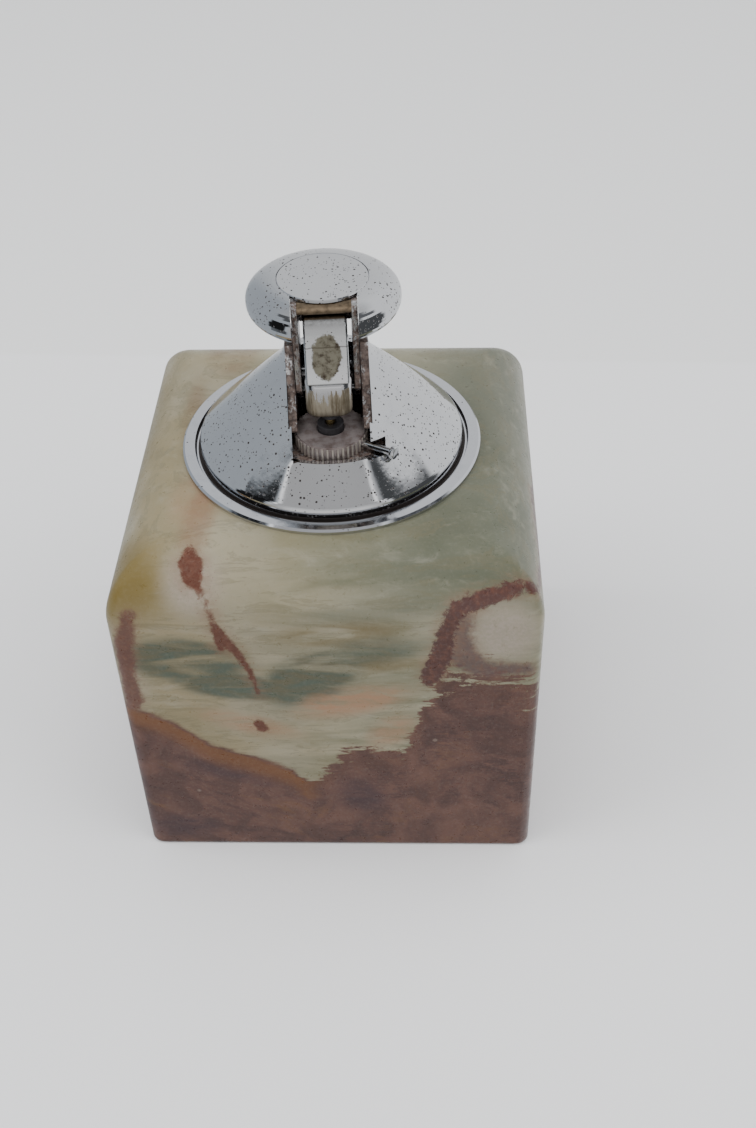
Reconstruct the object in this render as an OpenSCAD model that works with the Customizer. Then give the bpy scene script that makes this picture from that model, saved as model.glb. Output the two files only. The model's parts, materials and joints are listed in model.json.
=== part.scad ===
// Cube table lighter: a stone block with a lift-out chromed mechanism on top.
// Origin: centre of the underside. +Z up, -Y towards the burner side (the front), +X to the right.
// Heights named *_z in the mechanism are measured from the deck, which is the top of the stone.

/* [Stone block] */
// Width of the block, left to right
block_w = 75; // [70:1:90]
// Depth of the block, front to back
block_d = 76; // [70:1:90]
// Height of the block with its felt pad
block_h = 72; // [66:1:80]
// Radius of the four top edges
top_edge_r = 11.5; // [6:0.5:11.5]
// Radius of the four upright edges
side_edge_r = 2.5; // [1:0.5:5]
// Radius of the well that takes the mechanism
well_r = 21.5; // [21.5:0.1:22.5]
// Thickness of the felt pad under the block
felt_t = 1; // [0.8:0.1:2]

/* [Housing] */
// Radius of the flange plate
flange_r = 27.3; // [26:0.1:28]
// Thickness of the flange plate
flange_t = 0.9; // [0.7:0.1:1.2]
// Radius of the foot of the cone
cone_foot_r = 24; // [23.5:0.1:24]
// Radius of the neck
neck_r = 7.2; // [7:0.1:7.6]
// Height of the neck above the deck
neck_top_z = 22.6; // [21:0.1:23]
// Wall thickness of the cone
cone_wall = 1.4; // [1:0.1:1.8]

/* [Lever] */
// Radius of the thumb cap
cap_r = 13.3; // [12.5:0.1:14]
// Radius of the flat inlay on the thumb cap
inlay_r = 7.85; // [7:0.05:8]
// Width across the outside of the fork
fork_w = 11.1; // [10.8:0.1:11.2]
// Width of the arm that carries the snuffer
arm_w = 7.4; // [7.2:0.1:7.6]
// How far the snuffer's arm is offset from the cap's pivot, downwards
pivot_drop = 3.5; // [3.4:0.1:3.6]

/* [Flame ring] */
// Radius over the knurling of the flame ring
ring_r = 6.4; // [6:0.1:6.5]
// Number of teeth in the knurling
ring_teeth = 44; // [36:1:60]
// Direction in which the adjusting pin points, in degrees from +X
pin_angle = -31; // [-34:1:-28]

/* [Hidden] */
$fn = 96;
gap = 0.05;             // running clearance on a radius
eps = 0.01;

deck = block_h;
insert_turn = 4.5;      // the mechanism sits turned a little in its well
axle_y = 1;
pivot_z = 17.5;         // pivot of the cap and fork
axle_z = pivot_z - pivot_drop;
tail_z = axle_z - 3.5;  // drive pins of the fork, in the slots of the arm
axle_r = 0.95;
hole_r = axle_r + gap;
burner_y = -10.6;

// cone: a straight slope between a rolled foot and a filleted neck
slope = 0.93;                       // radius lost per millimetre of height
slope_angle = atan(slope);
cone_zero_r = 25.1;                 // radius of the slope at the deck
fillet_r = 8;                       // fillet between slope and neck
foot_roll_r = 1.5;                  // rolled edge at the cone's foot
slot_half = 5.75;                   // half the width of the slot between the cheeks
cheek_out = 7.2;                    // outer face of the cheeks
cheek_back_y = 2.2;                 // back edge of the cheeks inside the neck
slot_floor_z = 7.6;                 // floor of the front slot
slot_step_y = -12.4;                // the slot narrows from the cheeks' width to the ring's here
slot_front_y = -17.25;              // front end of the slot, close to the flame ring
rear_slot_z = 16.5;                 // floor of the rear slot

// lever
fork_t = 1;
fork_half = fork_w / 2;
fork_in = fork_half - fork_t;
fork_front_y = -7.8;
cap_mid_z = 30.15;
cap_half_t = 4.15;
cap_power = 2.5;                    // roundness of the cap's section
web_z = 32.95;                      // underside of the cap's web
inlay_seat_z = 33.35;
inlay_t = 0.5;
notch_half = fork_half + 0.05;
notch_y = -5.35;
bar_y = -7;
bar_z = 32.1;
bar_r = 1.15;
arm_half = arm_w / 2;
lip_y = -13;
lip_z = 20.6;
cup_floor_z = 14;
tail_r = 0.6;

// flame ring
ring_z = 7.75;
ring_t = 2.35;
dial_t = 0.2;
collar_r = 2.3;
pin_r = 0.65;
pin_z = 8.9;
pin_reach = 12.7;

// spark gear
wheel_r = 4.2;
wheel_w = 4;
wheel_teeth = 40;
ratchet_r = 3.6;
ratchet_t = 0.6;
ratchet_teeth = 12;
flint_r = 1.3;
tube_in_r = 1.4;
tube_out_r = 2.2;

// tank
tank_r = 20;
tank_wall = 0.8;
tank_top_z = -1.2;
tank_floor_z = -44;
plate_t = 1;
valve_y = -11;
screw_circle_r = 15;
well_floor = 14;                    // height of the well's floor above the table
foot_z = 0.25;                      // the stone's rim stands this far above the table

// ---- shared shapes ----

// puts the mechanism on the deck
module seat() {
    translate([0, 0, deck]) rotate([0, 0, insert_turn]) children();
}

// a rectangle with round corners
module rounded_rect(w, d, r) {
    square([w - 2 * r, d], center = true);
    square([w, d - 2 * r], center = true);
    for (x = [-1, 1], y = [-1, 1])
        translate([x * (w / 2 - r), y * (d / 2 - r)]) circle(r);
}

// the upright outline of the block: square foot, round top corners
module block_outline(w) {
    translate([-w / 2, foot_z]) square([w, block_h - foot_z - top_edge_r]);
    translate([-w / 2 + top_edge_r, foot_z]) square([w - 2 * top_edge_r, block_h - foot_z]);
    for (x = [-1, 1])
        translate([x * (w / 2 - top_edge_r), block_h - top_edge_r]) circle(top_edge_r);
}

// a plain ring or disc
module ring(r_out, r_in, z_from, z_to) {
    translate([0, 0, z_from]) difference() {
        cylinder(r = r_out, h = z_to - z_from);
        if (r_in > 0) translate([0, 0, -1]) cylinder(r = r_in, h = z_to - z_from + 2);
    }
}

// a bar along X
module cross_bar(r, half, y, z) {
    translate([-half, y, z]) rotate([0, 90, 0]) cylinder(r = r, h = 2 * half);
}

// a side outline, given as [y, z] points, thickened along X
module side_plate(outline, x_from, x_to) {
    translate([x_from, 0, 0]) rotate([90, 0, 90]) linear_extrude(x_to - x_from) polygon(outline);
}

// a round-wire coil about Z
function coil_points(r, wire, pitch, turns, sides, steps) =
    [for (i = [0 : turns * steps], j = [0 : sides - 1])
        let (a = 360 * i / steps, b = 360 * j / sides, rr = r + wire * cos(b))
        [rr * cos(a), rr * sin(a), pitch * i / steps + wire * sin(b)]];
module coil(r, wire, pitch, turns, sides = 8, steps = 20) {
    last = turns * steps;
    faces = concat(
        [[for (j = [0 : sides - 1]) j]],
        [for (i = [0 : last - 1], j = [0 : sides - 1])
            let (a = i * sides + j, b = i * sides + (j + 1) % sides)
            [a, a + sides, b + sides]],
        [for (i = [0 : last - 1], j = [0 : sides - 1])
            let (a = i * sides + j, b = i * sides + (j + 1) % sides)
            [a, b + sides, b]],
        [[for (j = [sides - 1 : -1 : 0]) last * sides + j]]);
    polyhedron(coil_points(r, wire, pitch, turns, sides, steps), faces, convexity = 6);
}

// a toothed disc about Z; shallow for knurling, slanted for a ratchet
module toothed_disc(r, depth, teeth, h, slant = 0.5) {
    linear_extrude(h) polygon([for (i = [0 : teeth - 1], k = [0 : 3])
        let (step = 360 / teeth,
             a = i * step + [0, 0.3, 0.3 + 0.35 * slant, 0.7 + 0.3 * slant][k] * step,
             rr = (k < 2) ? r : r - depth)
        [rr * cos(a), rr * sin(a)]]);
}

// ---- the cone's section ----

function slope_r(z) = cone_zero_r - slope * z;
corner_z = (cone_zero_r - neck_r) / slope;
tangent = fillet_r * tan(slope_angle / 2);
fillet_z = corner_z + tangent;
roll_c = [cone_foot_r - foot_roll_r, flange_t + 0.9];

// the cone filled in, with its outside moved inwards by t
module cone_solid(t = 0) {
    start = 180 + slope_angle;
    rotate_extrude() polygon(concat(
        [[0, flange_t - (t > 0 ? 1 : 0)], [cone_foot_r - t, flange_t - (t > 0 ? 1 : 0)]],
        [for (a = [0 : 9 : 45]) roll_c + max(foot_roll_r - t, 0.1) * [cos(a), sin(a)]],
        [for (k = [0 : 8]) let (a = start - slope_angle * k / 8)
            [neck_r + fillet_r, fillet_z] + (fillet_r + t) * [cos(a), sin(a)]],
        [[neck_r - t, neck_top_z + (t > 0 ? 1 : 0)], [0, neck_top_z + (t > 0 ? 1 : 0)]]));
}

// ---- base ----

module stone_block() {
    color("darkseagreen") difference() {
        intersection() {
            translate([0, block_d / 2 + 1, 0]) rotate([90, 0, 0])
                linear_extrude(block_d + 2) block_outline(block_w);
            translate([-block_w / 2 - 1, 0, 0]) rotate([90, 0, 90])
                linear_extrude(block_w + 2) block_outline(block_d);
            linear_extrude(block_h + 1) rounded_rect(block_w, block_d, side_edge_r);
        }
        translate([0, 0, well_floor]) cylinder(r = well_r, h = block_h);
        translate([0, 0, -1]) linear_extrude(felt_t + 1) felt_outline(0);
    }
}

module felt_outline(less) {
    inset = 3 + less;
    rounded_rect(block_w - 2 * inset, block_d - 2 * inset, side_edge_r);
}

module felt_pad() {
    color("darkgreen") linear_extrude(felt_t) felt_outline(0.1);
}

// ---- housing ----

module flange_plate() {
    groove = 0.7;
    edge = 0.35;
    skirt_r = 21.1;
    skirt_h = 9;
    color("silver") seat() rotate_extrude() polygon([
        [19, flange_t], [24.05, flange_t], [24.05, flange_t - groove], [24.8, flange_t - groove],
        [25.1, flange_t], [flange_r - edge, flange_t], [flange_r, flange_t - edge], [flange_r, 0],
        [skirt_r, 0], [skirt_r, -skirt_h], [skirt_r - 0.8, -skirt_h], [skirt_r - 0.8, -0.9], [19, -0.9]]);
}

module grip_ring() {
    color("dimgray") seat() ring(21.4, 21.1, -7.5, -4.5);
}

// the slit to the right of the slot, where the adjusting pin rests
module pin_slit() {
    intersection() {
        translate([0, burner_y, pin_z - pin_r - 0.35]) cylinder(r = pin_reach + 0.8, h = 2 * pin_r + 0.75);
        translate([6, -30, 0]) cube([3.3, 30 + burner_y - 1.3, 20]);
    }
}

module cone_housing() {
    color("silver") seat() difference() {
        cone_solid();
        cone_solid(cone_wall);
        translate([-cheek_out - gap, slot_step_y, slot_floor_z])
            cube([2 * (cheek_out + gap), cheek_back_y + gap - slot_step_y, 30]);
        translate([-ring_r - 0.35, slot_front_y, slot_floor_z])
            cube([2 * ring_r + 0.7, slot_step_y - slot_front_y + 1, 30]);
        // the lip in front of the flame ring stays just below the turning pin
        translate([-ring_r - 0.35, -30, pin_z - pin_r - 0.12]) cube([2 * ring_r + 0.7, 15, 20]);
        translate([-slot_half, -1, rear_slot_z]) cube([2 * slot_half, 30, 30]);
        pin_slit();
    }
}

// two cheeks that carry the pivots, and the shelf under the flame ring
module chassis() {
    cheek = [[-4, 23], [-4.5, 19.8], [-6.4, 16], [-9.3, 13.2], [-12.2, 11.1], [-12.2, 10.75],
             [-3.9, 10.75], [-3.9, slot_floor_z], [-2.5, 2.5], [5, 2.5], [5.3, 14.3],
             [cheek_back_y, 16], [cheek_back_y, 22.6], [1.4, 23]];
    color("lightsteelblue") seat() difference() {
        union() {
            for (x = [-cheek_out, slot_half]) side_plate(cheek, x, x + cheek_out - slot_half);
            intersection() {
                cone_solid(cone_wall + gap);
                translate([-14, -30, slot_floor_z - 1.2]) cube([28, 27, 1.2]);
            }
        }
        cross_bar(hole_r, 9, axle_y, axle_z);
        cross_bar(hole_r, 9, axle_y, pivot_z);
        translate([0, burner_y, 0]) cylinder(r = 2.9 + gap, h = 10);
    }
}

module at_screws() {
    for (a = [30, 150, 270]) rotate(a + 60) translate([screw_circle_r, 0, 0]) children();
}

module mechanism_plate() {
    color("darkgray") seat() difference() {
        ring(18.9, 0, tank_top_z, flange_t);
        translate([0, axle_y, -5]) cylinder(r = tube_out_r + gap, h = 10);
        translate([0, burner_y, -5]) cylinder(r = 2.9 + gap, h = 10);
        at_screws() translate([0, 0, -5]) cylinder(r = 1.1, h = 10);
    }
}

module housing_screws() {
    color("goldenrod") seat() at_screws() difference() {
        union() {
            translate([0, 0, tank_top_z]) cylinder(r = 1.05, h = 2.1);
            translate([0, 0, flange_t]) cylinder(r = 1.9, h = 1);
        }
        translate([-3, -0.25, flange_t + 0.6]) cube([6, 0.5, 1]);
    }
}

// ---- tank ----

module tank_top() {
    color("khaki") seat() difference() {
        ring(tank_r, 0, tank_top_z - plate_t, tank_top_z);
        translate([0, axle_y, -5]) cylinder(r = tube_out_r + gap, h = 10);
        translate([0, burner_y, -5]) cylinder(r = 2.9 + gap, h = 10);
    }
}

module tank_shell() {
    color("khaki") seat()
        ring(tank_r, tank_r - tank_wall, tank_floor_z, tank_top_z - plate_t);
}

module tank_base() {
    color("khaki") seat() difference() {
        ring(tank_r, 0, tank_floor_z - plate_t, tank_floor_z);
        translate([0, axle_y, tank_floor_z - 5]) cylinder(r = tube_out_r + gap, h = 10);
        translate([0, valve_y, tank_floor_z - 5]) cylinder(r = 2.5 + gap, h = 10);
    }
}

module fill_valve_body() {
    color("goldenrod") seat() translate([0, valve_y, tank_floor_z]) difference() {
        union() {
            translate([0, 0, -2]) cylinder(r = 2.5, h = 10);
            translate([0, 0, -2]) cylinder(r = 3.6, h = 1);
        }
        translate([0, 0, -3]) cylinder(r = 1.1, h = 9);
    }
}

module fill_valve_seal() {
    color("black") seat() translate([0, valve_y, tank_floor_z]) difference() {
        translate([0, 0, -2.8]) cylinder(r = 2.6, h = 0.8);
        translate([0, 0, -4]) cylinder(r = 1.3, h = 4);
    }
}

module fill_valve_stem() {
    color("gold") seat() translate([0, valve_y, tank_floor_z]) difference() {
        translate([0, 0, -4.2]) cylinder(r = 1.05, h = 8.4);
        translate([0, 0, -5]) cylinder(r = 0.4, h = 3);
    }
}

// ---- spark gear ----

module flint_tube() {
    color("goldenrod") seat() translate([0, axle_y, 0]) difference() {
        translate([0, 0, tank_floor_z - 2.95]) cylinder(r = tube_out_r, h = 12.3 - tank_floor_z);
        translate([0, 0, tank_floor_z - 4]) cylinder(r = tube_in_r, h = 60);
    }
}

module flint() {
    color("slategray") seat() translate([0, axle_y, axle_z - wheel_r - 5.05]) cylinder(r = flint_r, h = 5);
}

module flint_spring() {
    wire = 0.2;
    turns = 26;
    length = 48.3;
    color("lightgray") seat() translate([0, axle_y, tank_floor_z + 0.3])
        coil(flint_r - wire, wire, (length - 0.6) / turns, turns, 6, 10);
}

module flint_screw() {
    head_r = 3.4;
    color("goldenrod") seat() translate([0, axle_y, tank_floor_z]) difference() {
        union() {
            translate([0, 0, -3]) cylinder(r = tube_in_r - gap, h = 3);
            translate([0, 0, -4.4]) toothed_disc(head_r, 0.25, 30, 1.4);
        }
        translate([-4, -0.4, -4.5]) cube([8, 0.8, 0.7]);
    }
}

module wheel_axle() {
    color("gray") seat() cross_bar(axle_r, cheek_out - 0.1, axle_y, axle_z);
}

module pivot_pins() {
    color("gray") seat() for (x = [-cheek_out + 0.1, fork_in])
        translate([x, axle_y, pivot_z]) rotate([0, 90, 0])
            cylinder(r = axle_r, h = cheek_out - 0.1 - fork_in);
}

module on_axle(x) {
    seat() translate([x, axle_y, axle_z]) rotate([0, 90, 0]) children();
}

module flint_wheel() {
    color("dimgray") on_axle(-wheel_w / 2) difference() {
        toothed_disc(wheel_r, 0.3, wheel_teeth, wheel_w);
        translate([0, 0, -1]) cylinder(r = hole_r, h = wheel_w + 2);
    }
}

module ratchet_wheel() {
    color("slategray") on_axle(-wheel_w / 2 - ratchet_t) difference() {
        toothed_disc(ratchet_r, 0.6, ratchet_teeth, ratchet_t - eps, 1);
        translate([0, 0, -1]) cylinder(r = hole_r, h = ratchet_t + 2);
    }
}

// rides on the arm's left side plate and catches the ratchet from behind
module drive_pawl() {
    color("gray") seat() side_plate([[4.9, 15.9], [5.4, 17.4], [3.6, 19.2], [1.2, 19.9], [0.2, 18.9],
                                     [2.2, 17.9], [4.3, 16.8]],
                                    -arm_in, -wheel_w / 2 - 0.05);
}

module arm_spring() {
    wire = 0.25;
    color("lightgray") on_axle(arm_in + arm_t + 0.35) coil(1.7, wire, 0.55, 1, 8, 24);
}

// ---- burner and flame ring ----

module burner_body() {
    color("goldenrod") seat() translate([0, burner_y, 0]) union() {
        translate([0, 0, -8]) cylinder(r = 2.9, h = ring_z + 7.95);
        translate([0, 0, flange_t]) cylinder(r = 4.2, h = 1.2, $fn = 6);
    }
}

module burner_seal() {
    color("black") seat() translate([0, burner_y, tank_top_z - plate_t]) ring(4.4, 2.95, -1, -eps);
}

module burner_collar() {
    color("black") seat() translate([0, burner_y, ring_z]) difference() {
        cylinder(r = collar_r, h = 3.8);
        translate([0, 0, -1]) cylinder(r = 0.85, h = 6);
    }
}

module burner_jet() {
    color("gold") seat() translate([0, burner_y, ring_z]) difference() {
        cylinder(r = 0.8, h = 5.15);
        translate([0, 0, 3]) cylinder(r = 0.3, h = 3);
    }
}

module at_pin() {
    translate([0, burner_y, pin_z]) rotate([0, 0, pin_angle]) rotate([0, 90, 0]) children();
}

module flame_ring() {
    color("rosybrown") seat() difference() {
        translate([0, burner_y, ring_z]) toothed_disc(ring_r, 0.25, ring_teeth, ring_t);
        translate([0, burner_y, 0]) cylinder(r = collar_r + gap, h = 20);
        at_pin() translate([0, 0, 4]) cylinder(r = pin_r, h = 5);
    }
}

module dial_plate() {
    color("saddlebrown") seat() translate([0, burner_y, ring_z + ring_t])
        ring(ring_r - 0.35, collar_r + 0.2, 0, dial_t);
}

module adjust_pin() {
    head = 0.9;
    color("silver") seat() at_pin() {
        translate([0, 0, 4]) cylinder(r = pin_r, h = pin_reach - 4);
        translate([0, 0, pin_reach - head]) cylinder(r = 1.15, h = head);
    }
}

// ---- lever ----

// section of the cap as [r, z] points, from the inlay's edge round the rim to the underside
function cap_z(r, up) = cap_mid_z + up * cap_half_t * pow(1 - pow(r / cap_r, cap_power), 1 / cap_power);
cap_steps = 14;
function cap_rim_r(k) = inlay_r + 0.05 + (cap_r - inlay_r - 0.05) * sin(90 * k / cap_steps);

module thumb_cap() {
    mouth_r = 8.4;
    color("silver") seat() difference() {
        rotate_extrude() polygon(concat(
            [[0, web_z], [0, inlay_seat_z], [inlay_r + 0.05, inlay_seat_z]],
            [for (k = [0 : cap_steps]) [cap_rim_r(k), cap_z(cap_rim_r(k), 1)]],
            [for (k = [cap_steps - 1 : -1 : 1]) [cap_rim_r(k), cap_z(cap_rim_r(k), -1)]],
            [[mouth_r, cap_z(mouth_r, -1)], [mouth_r, 27.4], [11.4, 28.6], [12, 30.1], [11.2, 31.5],
             [9.4, 32.5], [8, web_z]]));
        translate([-notch_half, -20, 20]) cube([2 * notch_half, 20 + notch_y, 20]);
    }
}

module thumb_inlay() {
    color("gainsboro") seat() translate([0, 0, inlay_seat_z]) rotate_extrude()
        polygon([[0, 0], [inlay_r, 0], [inlay_r, inlay_t - 0.15], [inlay_r - 0.15, inlay_t],
                 [inlay_r / 2, inlay_t + 0.1], [0, inlay_t + 0.12]]);
}

// the fork reaches in front of the arm's axle and carries a drive pin below it
module fork_plate() {
    color("silver") seat() difference() {
        union() {
            side_plate([[fork_front_y, 16.2], [-6.9, 15.2], [-4, 14.8], [-2.6, 13],
                        [-0.4, tail_z - 0.4], [-0.25, 11.9], [-0.25, 15.6], [axle_y, pivot_z - 1.9],
                        [3.3, pivot_z], [4.5, 21], [4.5, web_z - eps], [notch_y - 0.05, web_z - eps],
                        [bar_y + 1.3, bar_z + 0.8], [bar_y + 0.3, bar_z + 1.15], [bar_y - 0.9, bar_z + 1.15],
                        [bar_y - 1.4, bar_z + 0.5], [bar_y - 1.4, bar_z - 0.8], [fork_front_y, bar_z - 1.9]],
                       fork_in, fork_half);
            translate([fork_in, axle_y, tail_z]) rotate([0, 90, 0]) cylinder(r = 1.4, h = fork_t);
            translate([fork_in, axle_y, pivot_z]) rotate([0, 90, 0]) cylinder(r = 1.95, h = fork_t);
        }
        cross_bar(hole_r, 9, axle_y, pivot_z);
        cross_bar(tail_r, 9, axle_y, tail_z);
    }
}

module fork_right() { fork_plate(); }
module fork_left() { seat() mirror([1, 0, 0]) unseat() fork_plate(); }

module unseat() {
    rotate([0, 0, -insert_turn]) translate([0, 0, -deck]) children();
}

module fork_back() {
    color("silver") seat()
        side_plate([[3.6, 23], [4.5, 23.4], [4.5, web_z - eps], [3.6, web_z - eps]], -fork_in, fork_in);
}

module fork_bar() {
    color("peru") seat() cross_bar(bar_r, fork_in, bar_y, bar_z);
}

module drive_pins() {
    color("gray") seat() for (x = [-fork_half, arm_in - 0.1])
        translate([x, axle_y, tail_z]) rotate([0, 90, 0]) cylinder(r = tail_r, h = fork_half - arm_in + 0.1);
}

// ---- snuffer arm ----

// the hood from its root over the shoulder to the lip, then back along its inside
arm_in = 2.75;
arm_t = 0.8;
hood_outer = [[-5.4, 30.7], [-6.8, 30.7], [-7.8, 30.2], [-8.6, 29.3], [-9.4, 27.9], [-11.2, 24.1],
              [lip_y, lip_z]];
hood_inner = [[lip_y + 1, lip_z], [-10.4, 23.9], [-8.6, 27.4], [-7.7, 28.7], [-6.4, 29.7], [-5.4, 29.7]];

module arm_hood() {
    color("silver") seat() side_plate(concat(hood_outer, hood_inner), -arm_half, arm_half);
}

// side plate of the arm: strap, hub, and a tail with the slot for the drive pin
module arm_plate() {
    slot_end = tail_z - 0.75;
    color("silver") seat() difference() {
        union() {
            side_plate([[lip_y + 1 + eps, lip_z], [-10.4 + eps, 23.9], [-8.6 + eps, 27.4], [-7.7, 28.7 - eps],
                        [-6.4, 29.7 - eps], [-5.4, 29.7 - eps], [-2.7, 24], [2.9, 15.5], [axle_y, axle_z],
                        [-1.2, 14], [-8.05, 19.9], [-8.05, lip_z]], arm_in, arm_in + arm_t);
            translate([arm_in, axle_y, axle_z]) rotate([0, 90, 0]) cylinder(r = 2.2, h = arm_t);
            translate([arm_in, axle_y, slot_end]) rotate([0, 90, 0]) cylinder(r = 1.5, h = arm_t);
            translate([arm_in, axle_y - 1.5, slot_end]) cube([arm_t, 3, axle_z - slot_end]);
        }
        cross_bar(hole_r, 9, axle_y, axle_z);
        cross_bar(tail_r + 0.2, 9, axle_y, slot_end);
        cross_bar(tail_r + 0.2, 9, axle_y, tail_z);
        translate([0, axle_y - tail_r - 0.2, slot_end]) cube([9, 2 * tail_r + 0.4, tail_z - slot_end]);
    }
}

module arm_right() { arm_plate(); }
module arm_left() { seat() mirror([1, 0, 0]) unseat() arm_plate(); }

module snuffer_cup() {
    cup_w = 7.9;
    cup_d = 4.9;
    color("tan") seat() difference() {
        translate([0, lip_y + cup_d / 2, cup_floor_z]) linear_extrude(lip_z - eps - cup_floor_z)
            rounded_rect(cup_w, cup_d, 2.3);
        translate([0, burner_y, cup_floor_z - 1]) cylinder(r = 1.6, h = 2.2);
    }
}

module snuffer_seal() {
    color("black") seat() translate([0, burner_y, cup_floor_z - 1.05])
        cylinder(r = 1.55, h = 2.2);
}

// ---- assembly ----

stone_block();
felt_pad();
flange_plate();
grip_ring();
cone_housing();
chassis();
mechanism_plate();
housing_screws();
tank_top();
tank_shell();
tank_base();
flint_tube();
flint();
flint_spring();
flint_screw();
wheel_axle();
pivot_pins();
arm_spring();
burner_body();
burner_collar();
burner_jet();
burner_seal();
fill_valve_body();
fill_valve_seal();
fill_valve_stem();
flint_wheel();
ratchet_wheel();
thumb_cap();
thumb_inlay();
fork_left();
fork_right();
fork_back();
fork_bar();
drive_pins();
arm_hood();
arm_left();
arm_right();
snuffer_cup();
snuffer_seal();
drive_pawl();
flame_ring();
dial_plate();
adjust_pin();
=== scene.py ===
"""Cube table lighter: an onyx block with a pitted chrome mechanism, in the CAD model's frame."""

import json
import math

import bmesh
import bpy
import numpy as np
from mathutils import Matrix, Vector


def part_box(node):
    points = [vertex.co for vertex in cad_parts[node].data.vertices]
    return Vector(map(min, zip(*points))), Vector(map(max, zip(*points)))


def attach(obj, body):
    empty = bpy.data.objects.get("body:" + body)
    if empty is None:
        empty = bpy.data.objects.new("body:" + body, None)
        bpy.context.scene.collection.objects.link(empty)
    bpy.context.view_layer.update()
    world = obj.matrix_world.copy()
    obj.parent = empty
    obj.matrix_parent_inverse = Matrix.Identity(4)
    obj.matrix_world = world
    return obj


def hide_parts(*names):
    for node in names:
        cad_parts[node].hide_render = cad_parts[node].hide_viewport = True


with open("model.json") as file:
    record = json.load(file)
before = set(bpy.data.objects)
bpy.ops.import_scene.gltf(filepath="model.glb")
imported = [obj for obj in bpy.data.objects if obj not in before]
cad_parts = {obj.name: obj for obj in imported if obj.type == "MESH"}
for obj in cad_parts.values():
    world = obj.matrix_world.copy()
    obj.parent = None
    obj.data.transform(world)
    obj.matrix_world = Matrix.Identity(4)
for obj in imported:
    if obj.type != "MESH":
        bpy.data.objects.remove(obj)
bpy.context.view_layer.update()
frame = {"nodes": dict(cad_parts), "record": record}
nodes = frame["nodes"]
MM = 0.001

low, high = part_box("stone_block")
HALF_W, HALF_D, DECK = high.x / MM, high.y / MM, high.z / MM
FOOT = low.z / MM

RIM_GROOVE = (24.0, 24.45)  # inner and outer radius of the dark line of painted shade in the groove round the cone's foot, in mm
HOOD_CREASE = 98.45  # height of the crease across the snuffer's hood, drawn as a fine dark line of painted shade, in mm
PLATING = (0.56, 0.56, 0.57)  # bright plating left between worn places


# ---------------------------------------------------------------- materials

class Nodes:
    """A material's node tree, built with short calls."""

    def __init__(self, name, scale=1000.0):
        self.mat = bpy.data.materials.new(name)
        self.mat.use_nodes = True
        self.tree = self.mat.node_tree
        self.shader = self.tree.nodes["Principled BSDF"]
        self.coords = self.vec("MULTIPLY", self.add("ShaderNodeTexCoord").outputs["Object"], (scale,) * 3)

    def add(self, kind, **values):
        node = self.tree.nodes.new(kind)
        for key, value in values.items():
            setattr(node, key, value)
        return node

    def link(self, source, socket):
        if hasattr(source, "is_output"):
            self.tree.links.new(source, socket)
        elif isinstance(source, tuple) and len(source) == 3 and socket.type == "RGBA":
            socket.default_value = (*source, 1)
        else:
            socket.default_value = source

    def set(self, **inputs):
        for key, value in inputs.items():
            self.link(value, self.shader.inputs[key.replace("_", " ")])

    def math(self, operation, a, b=0.0):
        node = self.add("ShaderNodeMath", operation=operation)
        self.link(a, node.inputs[0])
        self.link(b, node.inputs[1])
        return node.outputs[0]

    def vec(self, operation, a, b=(0, 0, 0)):
        node = self.add("ShaderNodeVectorMath", operation=operation)
        self.link(a, node.inputs[0])
        self.link(b, node.inputs[1])
        return node.outputs["Value" if operation in ("LENGTH", "DOT_PRODUCT") else 0]

    def noise(self, scale, detail=3.0, rough=0.55, at=None, distort=0.0, offset=(0, 0, 0)):
        node = self.add("ShaderNodeTexNoise")
        self.link(self.vec("ADD", at or self.coords, offset), node.inputs["Vector"])
        settings = {"Scale": scale, "Detail": detail, "Roughness": rough, "Distortion": distort}
        for key, value in settings.items():
            node.inputs[key].default_value = value
        return node.outputs["Fac"]

    def cells(self, scale):
        node = self.add("ShaderNodeTexVoronoi")
        self.link(self.coords, node.inputs["Vector"])
        node.inputs["Scale"].default_value = scale
        return node

    def ramp(self, value, low, high, start=0.0, end=1.0):
        node = self.add("ShaderNodeMapRange", interpolation_type="SMOOTHSTEP")
        for socket, source in zip(node.inputs, (value, low, high, start, end)):
            self.link(source, socket)
        return node.outputs[0]

    def mix(self, factor, a, b):
        node = self.add("ShaderNodeMix", data_type="RGBA")
        self.link(factor, node.inputs[0])
        self.link(a, node.inputs[6])
        self.link(b, node.inputs[7])
        return node.outputs[2]

    def field(self, name):
        node = self.add("ShaderNodeAttribute", attribute_name=name)
        return node.outputs["Fac"]

    def axis(self, which):
        node = self.add("ShaderNodeSeparateXYZ")
        self.link(self.coords, node.inputs[0])
        return node.outputs[which]

    def bump(self, height, distance, strength=1.0):
        node = self.add("ShaderNodeBump")
        self.link(height, node.inputs["Height"])
        node.inputs["Distance"].default_value = distance * MM
        node.inputs["Strength"].default_value = strength
        return node.outputs[0]


def srgb(r, g, b):
    """A colour given in display values, 0 to 255, as linear light."""
    return tuple(((v / 255 + 0.055) / 1.055) ** 2.4 if v > 10 else v / 255 / 12.92 for v in (r, g, b))


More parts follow.
